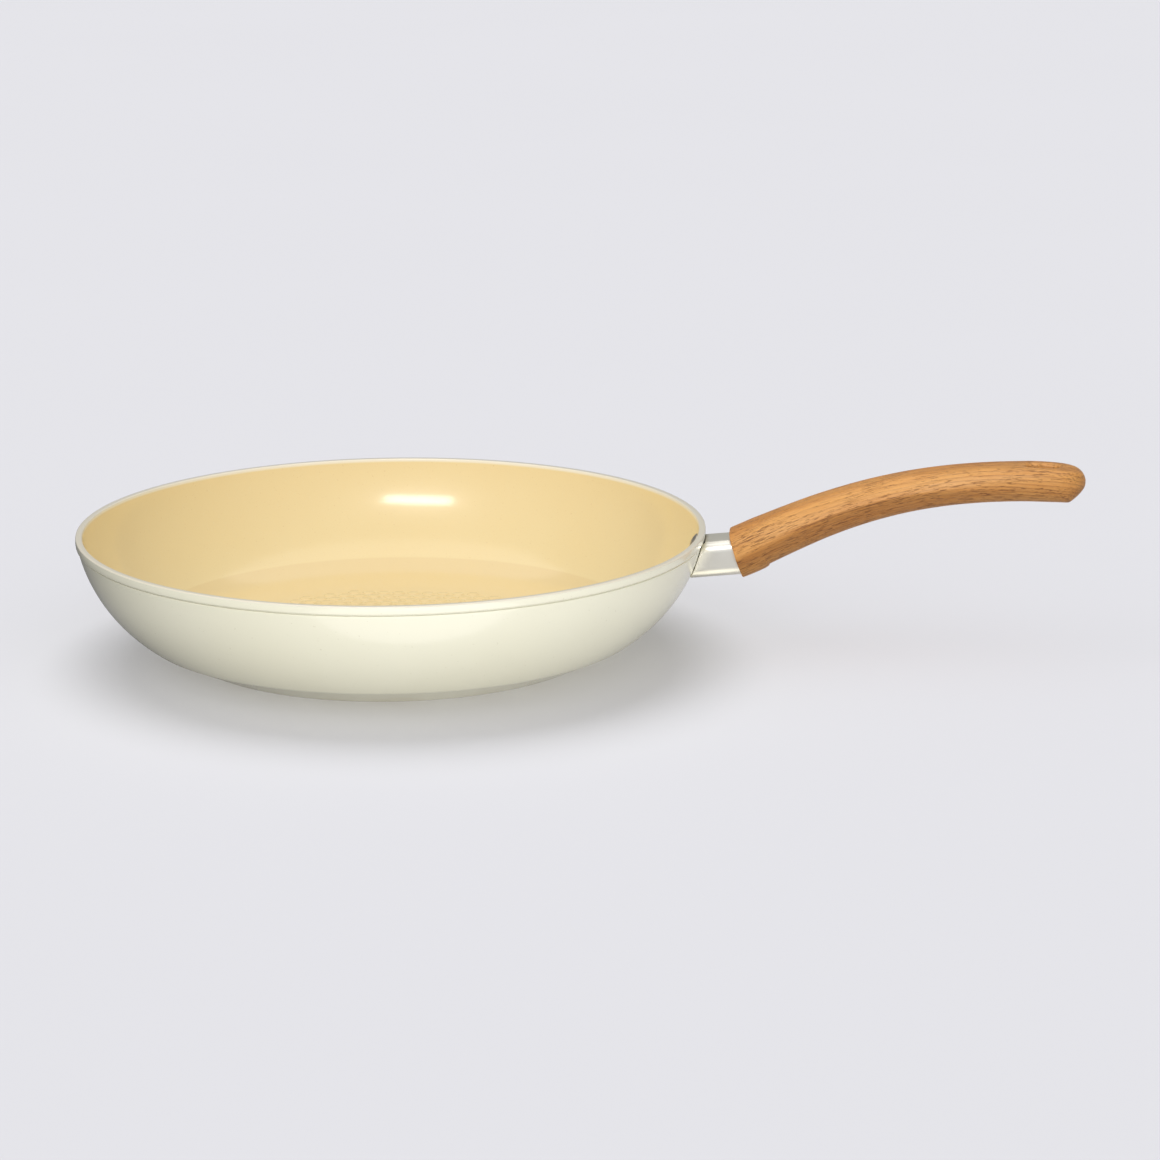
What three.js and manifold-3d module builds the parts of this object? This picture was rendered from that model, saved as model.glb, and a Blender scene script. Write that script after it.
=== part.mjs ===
// Frying pan: pressed body with a ceramic lining, riveted bracket, metal sleeve and curved grip.
// Millimetres, +Z up. The origin is the centre of the underside, and the handle points along +X.
import * as THREE from 'three';
import { mergeVertices } from 'three/addons/utils/BufferGeometryUtils.js';
import Module from 'manifold-3d';

const wasm = await Module();
wasm.setup();

const degrees = THREE.MathUtils.degToRad;

// Clearance between pieces that touch.
const GAP = 0.3;

// Pan
const RIM_RADIUS = 140;
const PAN_HEIGHT = 54.5;
const BASE_RADIUS = 92;
const BASE_RISE = degrees(16);       // slope of the wall as it leaves the base
const BASE_THICKNESS = 3.7;
const WALL_THICKNESS = 2;
const BAND_HEIGHT = 3.5;             // proud band round the rim
const BAND_PROUD = 0.6;
const LINING_THICKNESS = 0.5;
const PAN_SIDES = 64;

// Perforated steel disc in the base
const PLATE_RADIUS = 78;
const PLATE_THICKNESS = 0.6;
const PLATE_HOLE_RADIUS = 2.2;
const PLATE_HOLE_SIDES = 12;
const PLATE_RING_PITCH = 14;         // from ring to ring of holes
const PLATE_HOLES_PER_RING = 6;      // added with each ring outwards

// Rivets
const RIVET_SPACING = 11.5;
const RIVET_LIFT = 3;                // above the axis of the sleeve
const RIVET_SHANK_RADIUS = 2.2;
const RIVET_HEAD_RADIUS = 5;
const RIVET_HEAD_HEIGHT = 2.1;
const RIVET_TAIL_RADIUS = 2.9;
const RIVET_TAIL_HEIGHT = 1.6;

// Sleeve between the wall and the grip
const SLEEVE_BELOW_RIM = 11.5;       // from the rim down to its axis, at the wall
const SLEEVE_RISE = degrees(5.3);
const SLEEVE_WIDTH = 22;
const SLEEVE_HEIGHT = 16;
const SLEEVE_CORNER = 4.6;
const SLEEVE_WALL = 1.2;
const SLEEVE_SEAT = 2.8;             // how far it goes into the grip

// Bracket
const BRACKET_SHEET = 2.5;           // steel that the flange and tongue are folded from
const TONGUE_WIDTH = 11;
const TONGUE_DROP = 5;               // below the axis of the sleeve, where it leaves the flange
const TONGUE_REACH = 30;             // past the front of the grip

// Grip: its axis is a curve in the XZ plane from the front face to the tip.
const GRIP_STANDOFF = 16.7;          // from the wall to the grip, along X
const GRIP_LIFT = 0.9;               // its axis over the axis of the sleeve, at the front
const GRIP_OVER_SLEEVE = 1.9;        // its front is this much bigger than the sleeve, above and below
const GRIP_BESIDE_SLEEVE = 2.8;      // and this much on both sides
const GRIP_REACH = 152.7;
const GRIP_CLIMB = 32.6;
const GRIP_START_RISE = degrees(23);
const GRIP_START_PULL = 33;
const GRIP_END_RISE = degrees(-4.5);
const GRIP_END_PULL = 84;
const FRONT_LEAN = degrees(18);      // of the front face, off the vertical
const FRONT_BLEND = 26;              // over which the sections turn square to the axis
const TIP_PLAN = 13;                 // how far back the tip is rounded, seen from above
const TIP_SIDE = 7;                  // and from the side
const FRONT_HEIGHT = SLEEVE_HEIGHT + 2 * GRIP_OVER_SLEEVE;
const FRONT_WIDTH = SLEEVE_WIDTH + 2 * GRIP_BESIDE_SLEEVE;
// Sections: how far along the axis, height, width, and how square the corners are.
const GRIP_SECTIONS = [
  { at: 0, height: FRONT_HEIGHT, width: FRONT_WIDTH, square: 3.4 },
  { at: 17, height: FRONT_HEIGHT, width: FRONT_WIDTH, square: 3 },
  { at: 34, height: 18.2, width: 25.6, square: 2.6 },
  { at: 66, height: 16.6, width: 24, square: 2.4 },
  { at: 100, height: 15.6, width: 24.6, square: 2.4 },
  { at: 140, height: 15.5, width: 26.4, square: 2.5 },
  { at: 165, height: 15, width: 26.4, square: 2.5 },
];
const GRIP_SIDES = 24;
const GRIP_STEPS = 20;
const TIP_STEPS = 6;

// Hanging hole
const HOLE_LENGTH = 13;
const HOLE_WIDTH = 7.5;
const HOLE_CORNER = 3.7;
const HOLE_FROM_TIP = 19;

// Screw pad below the front of the grip, and the screw in it
const PAD_LENGTH = 13;
const PAD_PAST_SCREW = 5.3;
const PAD_WIDTH = 19;
const PAD_PROUD = 1.2;
const SCREW_FROM_FRONT = 6.6;
const SCREW_RADIUS = 2;
const SCREW_HEAD_RADIUS = 3.6;
const SCREW_HEAD_HEIGHT = 2.4;
const SCREW_SLOT = 1;
const WASHER_RADIUS = 3.5;
const WASHER_THICKNESS = 0.9;
const WASHER_SPLIT = 0.8;
const NUT_SIZE = 7;
const NUT_HEIGHT = 3;
const SCREW_SEAT = 2.6;              // grip left between the washer and the tongue's pocket
const ROUND_SIDES = 20;

// The wall is one arc, from the edge of the base to the underside of the rim band.
const wallTop = new THREE.Vector2(RIM_RADIUS - BAND_PROUD, PAN_HEIGHT - BAND_HEIGHT);
const wallFoot = new THREE.Vector2(BASE_RADIUS, 0);
const chord = wallTop.clone().sub(wallFoot);
const halfTurn = chord.angle() - BASE_RISE;
const wallArcRadius = chord.length() / (2 * Math.sin(halfTurn));
const wallCentre = new THREE.Vector2(-Math.sin(BASE_RISE), Math.cos(BASE_RISE))
  .multiplyScalar(wallArcRadius).add(wallFoot);

// Radius of the wall at a height, at a depth in from its outer face.
function wallRadius(height, depth = 0) {
  const drop = wallCentre.y - height;
  return wallCentre.x + Math.sqrt((wallArcRadius - depth) ** 2 - drop ** 2);
}

// Points up the wall's arc at one depth.
function wallPoints(depth, low, high, steps) {
  const radius = wallArcRadius - depth;
  const start = Math.asin((low - wallCentre.y) / radius);
  const end = Math.asin((high - wallCentre.y) / radius);
  const points = [];
  for (let step = 0; step <= steps; step += 1) {
    const turn = start + (end - start) * step / steps;
    points.push(new THREE.Vector2(
      wallCentre.x + radius * Math.cos(turn),
      wallCentre.y + radius * Math.sin(turn),
    ));
  }
  return points;
}

// Solids and meshes
function closed(geometry) {
  const bare = geometry.clone();
  bare.deleteAttribute('normal');
  bare.deleteAttribute('uv');
  return mergeVertices(bare, 1e-4);
}

function toSolid(geometry) {
  const shape = closed(geometry);
  return new wasm.Manifold(new wasm.Mesh({
    numProp: 3,
    vertProperties: new Float32Array(shape.attributes.position.array),
    triVerts: new Uint32Array(shape.index.array),
  }));
}

function toGeometry(solid) {
  const { vertProperties, triVerts } = solid.getMesh();
  const geometry = new THREE.BufferGeometry();
  geometry.setAttribute('position', new THREE.BufferAttribute(vertProperties, 3));
  geometry.setIndex(new THREE.BufferAttribute(triVerts, 1));
  geometry.computeVertexNormals();
  return geometry;
}

function piece(name, geometry, finish) {
  const mesh = new THREE.Mesh(geometry, new THREE.MeshStandardMaterial(finish));
  mesh.name = name;
  return mesh;
}

// A profile of (radius, height) points turned about the Z axis.
function turned(points, sides) {
  return new THREE.LatheGeometry(points, sides).rotateX(Math.PI / 2);
}

function round(radius, low, high, sides = ROUND_SIDES) {
  const rod = new THREE.CylinderGeometry(radius, radius, high - low, sides);
  return rod.rotateX(Math.PI / 2).translate(0, 0, (low + high) / 2);
}

// A rectangle with round corners, centred, as a shape.
function roundedRectangle(width, height, corner) {
  const x = width / 2 - corner;
  const y = height / 2 - corner;
  const shape = new THREE.Shape();
  shape.absarc(x, y, corner, 0, Math.PI / 2);
  shape.absarc(-x, y, corner, Math.PI / 2, Math.PI);
  shape.absarc(-x, -y, corner, Math.PI, Math.PI * 1.5);
  shape.absarc(x, -y, corner, Math.PI * 1.5, Math.PI * 2);
  shape.closePath();
  return shape;
}

// A rounded bar along +X from one distance to another, wide in Y and high in Z.
function roundedBar(width, height, corner, from, to, cornerSteps = 5) {
  const bar = new THREE.ExtrudeGeometry(roundedRectangle(width, height, corner), {
    depth: to - from,
    bevelEnabled: false,
    curveSegments: cornerSteps,
  });
  const axes = new THREE.Matrix4().makeBasis(
    new THREE.Vector3(0, 1, 0),
    new THREE.Vector3(0, 0, 1),
    new THREE.Vector3(1, 0, 0),
  );
  return bar.applyMatrix4(axes).translate(from, 0, 0);
}

// Pan body and lining
const liningDepth = WALL_THICKNESS + GAP;
const innerDepth = liningDepth + LINING_THICKNESS;
const liningFloor = BASE_THICKNESS + GAP;
const innerFloor = liningFloor + LINING_THICKNESS;
const lipTop = PAN_HEIGHT - LINING_THICKNESS;
const bodyTop = lipTop - GAP;
const WALL_STEPS = 9;

function bodyProfile() {
  const recess = PLATE_THICKNESS + GAP;
  const plateSeat = PLATE_RADIUS + GAP;
  return [
    new THREE.Vector2(0, recess),
    new THREE.Vector2(plateSeat, recess),
    new THREE.Vector2(plateSeat, 0),
    ...wallPoints(0, 0, wallTop.y, WALL_STEPS),
    new THREE.Vector2(RIM_RADIUS, wallTop.y),
    new THREE.Vector2(RIM_RADIUS, bodyTop),
    ...wallPoints(WALL_THICKNESS, BASE_THICKNESS, bodyTop, WALL_STEPS).reverse(),
    new THREE.Vector2(0, BASE_THICKNESS),
  ];
}

function liningProfile() {
  return [
    new THREE.Vector2(0, liningFloor),
    ...wallPoints(liningDepth, liningFloor, lipTop, WALL_STEPS),
    new THREE.Vector2(RIM_RADIUS, lipTop),
    new THREE.Vector2(RIM_RADIUS, PAN_HEIGHT),
    ...wallPoints(innerDepth, innerFloor, PAN_HEIGHT, WALL_STEPS).reverse(),
    new THREE.Vector2(0, innerFloor),
  ];
}

// What the wall's arc encloses, swollen by a distance, as a full solid.
function wallEnvelope(swell) {
  return toSolid(turned([
    new THREE.Vector2(0, -swell),
    ...wallPoints(-swell, -swell, wallTop.y, WALL_STEPS * 2),
    new THREE.Vector2(0, wallTop.y),
  ], PAN_SIDES * 2));
}

// The same with the rim band, which stands proud of the wall.
function panEnvelope(swell) {
  const band = round(RIM_RADIUS + swell, wallTop.y - swell, PAN_HEIGHT + swell, PAN_SIDES * 2);
  return wallEnvelope(swell).add(toSolid(band));
}

// Where the rivets sit: square to the wall, on both sides of the handle.
const sleeveAxisHeight = PAN_HEIGHT - SLEEVE_BELOW_RIM;
const rivetHeight = sleeveAxisHeight + RIVET_LIFT;
const rivetWallRadius = wallRadius(rivetHeight);
const rivetDrop = Math.asin((wallCentre.y - rivetHeight) / wallArcRadius);
const rivetTurn = Math.asin(RIVET_SPACING / 2 / rivetWallRadius);

// A frame at a rivet: +X along its axis, out of the pan.
function atRivet(side) {
  const place = new THREE.Object3D();
  place.rotation.set(0, rivetDrop, side * rivetTurn, 'ZYX');
  place.position.set(
    rivetWallRadius * Math.cos(rivetTurn),
    side * rivetWallRadius * Math.sin(rivetTurn),
    rivetHeight,
  );
  place.updateMatrix();
  return place;
}

const rivetInside = innerDepth + GAP;
const rivetOutside = BRACKET_SHEET + 2 * GAP;

// Cuts a round hole along both rivets, between two distances from the wall's outer face.
function drilled(solid, radius, from, to, offset = new THREE.Vector3()) {
  let rest = solid;
  for (const side of [-1, 1]) {
    const drill = round(radius, from, to).rotateY(Math.PI / 2);
    drill.applyMatrix4(atRivet(side).matrix).translate(-offset.x, -offset.y, -offset.z);
    rest = rest.subtract(toSolid(drill));
  }
  return rest;
}

function withRivetHoles(solid, offset) {
  const reach = rivetInside + RIVET_HEAD_HEIGHT;
  return drilled(solid, RIVET_SHANK_RADIUS + GAP, -reach, reach, offset);
}

// Room over the flange for the set tails, which may notch the tongue.
function withTailRoom(solid, offset) {
  const face = GAP + BRACKET_SHEET;
  return drilled(solid, RIVET_TAIL_RADIUS + GAP, face, rivetOutside + RIVET_TAIL_HEIGHT + GAP, offset);
}

function panBody() {
  const solid = toSolid(turned(bodyProfile(), PAN_SIDES));
  return piece('pan_body', toGeometry(withRivetHoles(solid)), {
    color: 0xf1f0dc, roughness: 0.25, metalness: 0,
  });
}

function ceramicLining() {
  const solid = toSolid(turned(liningProfile(), PAN_SIDES));
  return piece('ceramic_lining', toGeometry(withRivetHoles(solid)), {
    color: 0xf2dba8, roughness: 0.3, metalness: 0,
  });
}

function inductionPlate() {
  let solid = toSolid(round(PLATE_RADIUS, 0, PLATE_THICKNESS, PAN_SIDES));
  const rings = Math.floor((PLATE_RADIUS - PLATE_HOLE_RADIUS * 2) / PLATE_RING_PITCH);
  for (let ring = 1; ring <= rings; ring += 1) {
    const count = PLATE_HOLES_PER_RING * ring;
    for (let hole = 0; hole < count; hole += 1) {
      const turn = 2 * Math.PI * hole / count;
      const drill = round(PLATE_HOLE_RADIUS, -PLATE_THICKNESS, 2 * PLATE_THICKNESS, PLATE_HOLE_SIDES);
      drill.translate(PLATE_RING_PITCH * ring * Math.cos(turn), PLATE_RING_PITCH * ring * Math.sin(turn), 0);
      solid = solid.subtract(toSolid(drill));
    }
  }
  return piece('induction_plate', toGeometry(solid), {
    color: 0xb9babb, roughness: 0.35, metalness: 1,
  });
}

// The room inside the lining, clear of it by the gap.
function panRoom() {
  return toSolid(turned([
    new THREE.Vector2(0, innerFloor + GAP),
    ...wallPoints(innerDepth + GAP, innerFloor + GAP, PAN_HEIGHT, WALL_STEPS),
    new THREE.Vector2(0, PAN_HEIGHT),
  ], PAN_SIDES));
}

// The head's underside is seated on the curve of the lining.
function rivet(name, side) {
  const place = atRivet(side).matrix;
  const profile = [new THREE.Vector2(0, -rivetInside - RIVET_HEAD_HEIGHT)];
  const HEAD_STEPS = 4;
  for (let step = 1; step <= HEAD_STEPS; step += 1) {
    const turn = Math.PI / 2 * step / HEAD_STEPS;
    profile.push(new THREE.Vector2(
      RIVET_HEAD_RADIUS * Math.sin(turn),
      -rivetInside - RIVET_HEAD_HEIGHT * Math.cos(turn),
    ));
  }
  profile.push(new THREE.Vector2(RIVET_HEAD_RADIUS, 0), new THREE.Vector2(0, 0));
  const head = turned(profile, ROUND_SIDES).rotateY(Math.PI / 2).applyMatrix4(place);
  const shank = turned([
    new THREE.Vector2(0, -rivetInside - RIVET_HEAD_HEIGHT / 2),
    new THREE.Vector2(RIVET_SHANK_RADIUS, -rivetInside - RIVET_HEAD_HEIGHT / 2),
    new THREE.Vector2(RIVET_SHANK_RADIUS, rivetOutside),
    new THREE.Vector2(RIVET_TAIL_RADIUS, rivetOutside),
    new THREE.Vector2(RIVET_TAIL_RADIUS, rivetOutside + RIVET_TAIL_HEIGHT),
    new THREE.Vector2(0, rivetOutside + RIVET_TAIL_HEIGHT),
  ], ROUND_SIDES).rotateY(Math.PI / 2).applyMatrix4(place);
  const solid = toSolid(head).intersect(panRoom()).add(toSolid(shank));
  return piece(name, toGeometry(solid), { color: 0xb7b5ae, roughness: 0.4, metalness: 1 });
}

// Handle: everything below is placed from the middle of the grip's front face.
const handle = new THREE.Group();
const wallOnAxis = wallRadius(sleeveAxisHeight);
handle.position.set(
  wallOnAxis + GRIP_STANDOFF,
  0,
  sleeveAxisHeight + GRIP_STANDOFF * Math.tan(SLEEVE_RISE) + GRIP_LIFT,
);
const panFromHandle = handle.position.clone().negate().toArray();

const gripAxis = new THREE.CubicBezierCurve3(
  new THREE.Vector3(0, 0, 0),
  new THREE.Vector3(
    GRIP_START_PULL * Math.cos(GRIP_START_RISE),
    0,
    GRIP_START_PULL * Math.sin(GRIP_START_RISE),
  ),
  new THREE.Vector3(
    GRIP_REACH - GRIP_END_PULL * Math.cos(GRIP_END_RISE),
    0,
    GRIP_CLIMB - GRIP_END_PULL * Math.sin(GRIP_END_RISE),
  ),
  new THREE.Vector3(GRIP_REACH, 0, GRIP_CLIMB),
);
const gripLength = gripAxis.getLength();
const SECTION_SCALE = gripLength / GRIP_SECTIONS.at(-1).at;

// A frame on the grip's axis: +X along it, +Z square to it.
function onGripAxis(distance) {
  const share = THREE.MathUtils.clamp(distance / gripLength, 0, 1);
  const place = new THREE.Object3D();
  const tangent = gripAxis.getTangentAt(share);
  place.position.copy(gripAxis.getPointAt(share));
  place.rotation.y = -Math.atan2(tangent.z, tangent.x);
  place.updateMatrix();
  return place;
}

// Height, width and squareness of the grip at a distance along its axis.
function gripSection(distance) {
  const at = distance / SECTION_SCALE;
  const next = Math.max(1, GRIP_SECTIONS.findIndex((section) => section.at >= at));
  const low = GRIP_SECTIONS[next - 1];
  const high = GRIP_SECTIONS[next];
  const share = (at - low.at) / (high.at - low.at);
  const mix = (key) => THREE.MathUtils.lerp(low[key], high[key], share);
  return { height: mix('height'), width: mix('width'), square: mix('square') };
}

// How much of its size a rounded end keeps, at a distance from the tip.
function tipShare(fromTip, length) {
  const inside = THREE.MathUtils.clamp(1 - fromTip / length, 0, 1);
  return Math.sqrt(1 - inside ** 2);
}

// A rod whose rings are set one by one on the grip's axis.
function gripShell() {
  const rings = GRIP_STEPS + TIP_STEPS;
  const shell = closed(new THREE.CylinderGeometry(1, 1, rings, GRIP_SIDES, rings));
  const points = shell.attributes.position;
  const TIP_END = 0.97;
  for (let index = 0; index < points.count; index += 1) {
    const ring = Math.round(rings / 2 - points.getY(index));
    const tipTurn = Math.max(0, ring - GRIP_STEPS) / TIP_STEPS * TIP_END;
    const distance = ring <= GRIP_STEPS
      ? (gripLength - TIP_PLAN) * ring / GRIP_STEPS
      : gripLength - TIP_PLAN * (1 - Math.sin(tipTurn * Math.PI / 2));
    const { height, width, square } = gripSection(distance);
    const place = onGripAxis(distance);
    const lean = (FRONT_LEAN - GRIP_START_RISE) * Math.max(0, 1 - distance / FRONT_BLEND);
    place.rotation.y -= lean;
    place.updateMatrix();
    const across = points.getX(index);
    const up = points.getZ(index);
    const bulge = (Math.abs(across) ** square + Math.abs(up) ** square) ** (-1 / square);
    const keep = Math.hypot(across, up) < 0.5 ? 0 : bulge;
    const point = new THREE.Vector3(
      0,
      across * keep * width / 2 * tipShare(gripLength - distance, TIP_PLAN),
      up * keep * height / 2 * tipShare(gripLength - distance, TIP_SIDE),
    ).applyMatrix4(place.matrix);
    points.setXYZ(index, point.x, point.y, point.z);
  }
  return shell;
}

// The sleeve's axis passes below the grip's, by the lift.
function onSleeve(geometry) {
  return geometry.rotateY(-SLEEVE_RISE).translate(0, 0, -GRIP_LIFT);
}

// The frame of the screw: +Z along it, up through the pad, on the grip's axis.
const fixing = new THREE.Group();
fixing.position.copy(onGripAxis(SCREW_FROM_FRONT).position);
fixing.rotation.copy(onGripAxis(SCREW_FROM_FRONT).rotation);
fixing.updateMatrix();

const screwSection = gripSection(SCREW_FROM_FRONT);
const padFace = -screwSection.height / 2 - PAD_PROUD;
const tongueLow = -BRACKET_SHEET / 2;
const tongueHigh = BRACKET_SHEET / 2;
const washerLow = tongueLow - GAP - SCREW_SEAT - WASHER_THICKNESS;
const headHigh = washerLow - GAP;
const headLow = headHigh - SCREW_HEAD_HEIGHT;
const nutLow = tongueHigh + GAP;
const nutHigh = nutLow + NUT_HEIGHT;

// The tongue: from the foot of the flange up through the sleeve, then along the screw's frame.
function tongue(extra) {
  const start = -GRIP_STANDOFF - BRACKET_SHEET;
  const half = BRACKET_SHEET / 2 + extra;
  const knee = new THREE.Vector2(0, -GRIP_LIFT);
  const entry = new THREE.Vector2(start, -GRIP_LIFT + start * Math.tan(SLEEVE_RISE) - TONGUE_DROP);
  const turn = -fixing.rotation.y;
  const end = new THREE.Vector2(TONGUE_REACH + extra, 0).rotateAround(new THREE.Vector2(), turn)
    .add(new THREE.Vector2(fixing.position.x, fixing.position.z))
    .sub(new THREE.Vector2(SCREW_FROM_FRONT, 0).rotateAround(new THREE.Vector2(), turn));
  const side = new THREE.Vector2(-Math.sin(turn), Math.cos(turn)).multiplyScalar(half);
  const shape = new THREE.Shape([
    new THREE.Vector2(entry.x, entry.y - half),
    new THREE.Vector2(knee.x + half, knee.y - half),
    end.clone().sub(side),
    end.clone().add(side),
    new THREE.Vector2(knee.x - half, knee.y + half),
    new THREE.Vector2(entry.x, entry.y + half),
  ]);
  const width = TONGUE_WIDTH + 2 * extra;
  const bar = new THREE.ExtrudeGeometry(shape, { depth: width, bevelEnabled: false });
  return bar.translate(0, 0, -width / 2).rotateX(Math.PI / 2);
}

function flameGuard() {
  const start = -GRIP_STANDOFF * 2;
  const outer = onSleeve(roundedBar(SLEEVE_WIDTH, SLEEVE_HEIGHT, SLEEVE_CORNER, start, SLEEVE_SEAT));
  const bore = onSleeve(roundedBar(
    SLEEVE_WIDTH - 2 * SLEEVE_WALL,
    SLEEVE_HEIGHT - 2 * SLEEVE_WALL,
    SLEEVE_CORNER - SLEEVE_WALL,
    start - GAP,
    SLEEVE_SEAT + GAP,
  ));
  const pan = panEnvelope(GAP).translate(panFromHandle);
  const solid = toSolid(outer).subtract(toSolid(bore)).subtract(pan);
  return piece('flame_guard', toGeometry(solid), { color: 0xd9d8d2, roughness: 0.2, metalness: 1 });
}

function handleBracket() {
  const play = 2 * (SLEEVE_WALL + GAP);
  const block = toSolid(onSleeve(roundedBar(
    SLEEVE_WIDTH - play,
    SLEEVE_HEIGHT - play,
    SLEEVE_CORNER - play / 2,
    -GRIP_STANDOFF * 2,
    -GRIP_STANDOFF / 3,
    4,
  )));
  const flange = block.intersect(wallEnvelope(GAP + BRACKET_SHEET).translate(panFromHandle));
  const joined = flange.add(toSolid(tongue(0))).subtract(panEnvelope(GAP).translate(panFromHandle));
  const screwHole = round(SCREW_RADIUS + GAP, -BRACKET_SHEET, BRACKET_SHEET).applyMatrix4(fixing.matrix);
  const seated = withTailRoom(joined.subtract(toSolid(screwHole)), handle.position);
  const solid = withRivetHoles(seated, handle.position);
  return piece('handle_bracket', toGeometry(solid), { color: 0x9a9a98, roughness: 0.45, metalness: 1 });
}

function grip() {
  const socket = onSleeve(roundedBar(
    SLEEVE_WIDTH + 2 * GAP,
    SLEEVE_HEIGHT + 2 * GAP,
    SLEEVE_CORNER + GAP,
    -GRIP_STANDOFF,
    SLEEVE_SEAT + GAP,
  ));
  const pad = new THREE.BoxGeometry(PAD_LENGTH, PAD_WIDTH, screwSection.height / 2)
    .translate(PAD_PAST_SCREW - PAD_LENGTH / 2, 0, padFace + screwSection.height / 4)
    .applyMatrix4(fixing.matrix);
  const frontCut = new THREE.BoxGeometry(GRIP_STANDOFF, SLEEVE_WIDTH * 2, SLEEVE_HEIGHT * 4)
    .translate(-GRIP_STANDOFF / 2, 0, 0)
    .rotateY(-FRONT_LEAN);
  const headBore = round(SCREW_HEAD_RADIUS + GAP, padFace * 2, washerLow + WASHER_THICKNESS + GAP)
    .applyMatrix4(fixing.matrix);
  const shankBore = round(SCREW_RADIUS + GAP, padFace, nutHigh).applyMatrix4(fixing.matrix);
  const nutPocket = new THREE.BoxGeometry(TONGUE_REACH, NUT_SIZE + 2 * GAP, nutHigh + 2 * GAP)
    .translate(NUT_SIZE / 2 + GAP - TONGUE_REACH / 2, 0, nutHigh / 2 + GAP)
    .applyMatrix4(fixing.matrix);
  const hangingHole = new THREE.ExtrudeGeometry(
    roundedRectangle(HOLE_LENGTH, HOLE_WIDTH, HOLE_CORNER),
    { depth: SLEEVE_HEIGHT * 3, bevelEnabled: false, curveSegments: 6 },
  ).translate(0, 0, -SLEEVE_HEIGHT * 1.5).applyMatrix4(onGripAxis(gripLength - HOLE_FROM_TIP).matrix);
  let solid = toSolid(gripShell()).add(toSolid(pad));
  for (const cut of [frontCut, socket, tongue(GAP), nutPocket, headBore, shankBore, hangingHole]) {
    solid = solid.subtract(toSolid(cut));
  }
  return piece('grip', toGeometry(solid), { color: 0xc08545, roughness: 0.5, metalness: 0 });
}

function gripScrew() {
  const shank = toSolid(round(SCREW_RADIUS, headHigh - GAP, nutHigh - GAP));
  let head = toSolid(round(SCREW_HEAD_RADIUS, headLow, headHigh));
  for (const turn of [0, Math.PI / 2]) {
    const slot = new THREE.BoxGeometry(SCREW_HEAD_RADIUS, SCREW_SLOT, SCREW_HEAD_HEIGHT)
      .rotateZ(turn)
      .translate(0, 0, headLow);
    head = head.subtract(toSolid(slot));
  }
  return piece('grip_screw', toGeometry(shank.add(head)), { color: 0xb5b5b3, roughness: 0.35, metalness: 1 });
}

function springWasher() {
  const ring = toSolid(round(WASHER_RADIUS, washerLow, washerLow + WASHER_THICKNESS));
  const bore = toSolid(round(SCREW_RADIUS + GAP, washerLow - GAP, washerLow + WASHER_THICKNESS + GAP));
  const split = toSolid(new THREE.BoxGeometry(WASHER_RADIUS * 2, WASHER_SPLIT, WASHER_THICKNESS * 4)
    .translate(WASHER_RADIUS, 0, washerLow));
  return piece('spring_washer', toGeometry(ring.subtract(bore).subtract(split)), {
    color: 0x8d8d8a, roughness: 0.4, metalness: 1,
  });
}

function weldNut() {
  const block = toSolid(new THREE.BoxGeometry(NUT_SIZE, NUT_SIZE, NUT_HEIGHT)
    .translate(0, 0, (nutLow + nutHigh) / 2));
  const bore = toSolid(round(SCREW_RADIUS + GAP, nutLow - GAP, nutHigh + GAP));
  return piece('weld_nut', toGeometry(block.subtract(bore)), {
    color: 0x8d8d8a, roughness: 0.5, metalness: 1,
  });
}

fixing.add(gripScrew(), springWasher(), weldNut());
handle.add(flameGuard(), handleBracket(), grip(), fixing);

const fryingPan = new THREE.Group();
fryingPan.name = 'frying_pan';
fryingPan.add(
  panBody(),
  ceramicLining(),
  inductionPlate(),
  rivet('rivet_left', 1),
  rivet('rivet_right', -1),
  handle,
);

export default fryingPan;
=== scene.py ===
import math

import bmesh
import bpy
from mathutils import Matrix, Vector
from mathutils.geometry import interpolate_bezier


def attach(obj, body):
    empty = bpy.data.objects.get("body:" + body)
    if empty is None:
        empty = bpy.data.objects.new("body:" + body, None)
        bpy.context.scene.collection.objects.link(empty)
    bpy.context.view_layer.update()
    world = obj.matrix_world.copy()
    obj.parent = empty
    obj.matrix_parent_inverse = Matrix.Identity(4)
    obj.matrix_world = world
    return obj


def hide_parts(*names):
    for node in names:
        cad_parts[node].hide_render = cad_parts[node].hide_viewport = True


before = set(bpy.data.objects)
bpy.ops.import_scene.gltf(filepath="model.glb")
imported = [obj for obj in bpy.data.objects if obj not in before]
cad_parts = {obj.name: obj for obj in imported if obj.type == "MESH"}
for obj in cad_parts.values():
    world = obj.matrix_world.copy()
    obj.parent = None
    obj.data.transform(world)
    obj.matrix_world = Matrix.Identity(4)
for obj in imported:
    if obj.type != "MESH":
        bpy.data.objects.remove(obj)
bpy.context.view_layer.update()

scene = bpy.context.scene
scene.view_settings.view_transform = "Standard"


# Camera. A long lens stands a little above the rim and looks down on the near side of the pan.
# The handle points to its right. Metres and radians.
CAMERA_PLACE = (0.2184, -1.6372, 0.4568)
CAMERA_HEADING = 0.081824
CAMERA_TILT = 0.253583
CAMERA_ROLL = -0.0054067
LENS_LENGTH = 118.19               # millimetres, like the sensor
SENSOR_WIDTH = 36
camera = bpy.data.objects.new("camera", bpy.data.cameras.new("camera"))
camera.data.sensor_width = SENSOR_WIDTH
camera.data.lens = LENS_LENGTH
camera.data.clip_end = 100
camera.matrix_world = (
    Matrix.Translation(CAMERA_PLACE)
    @ Matrix.Rotation(CAMERA_HEADING, 4, "Z")
    @ Matrix.Rotation(math.pi / 2 - CAMERA_TILT, 4, "X")
    @ Matrix.Rotation(CAMERA_ROLL, 4, "Z")
)
scene.collection.objects.link(camera)
scene.camera = camera


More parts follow.
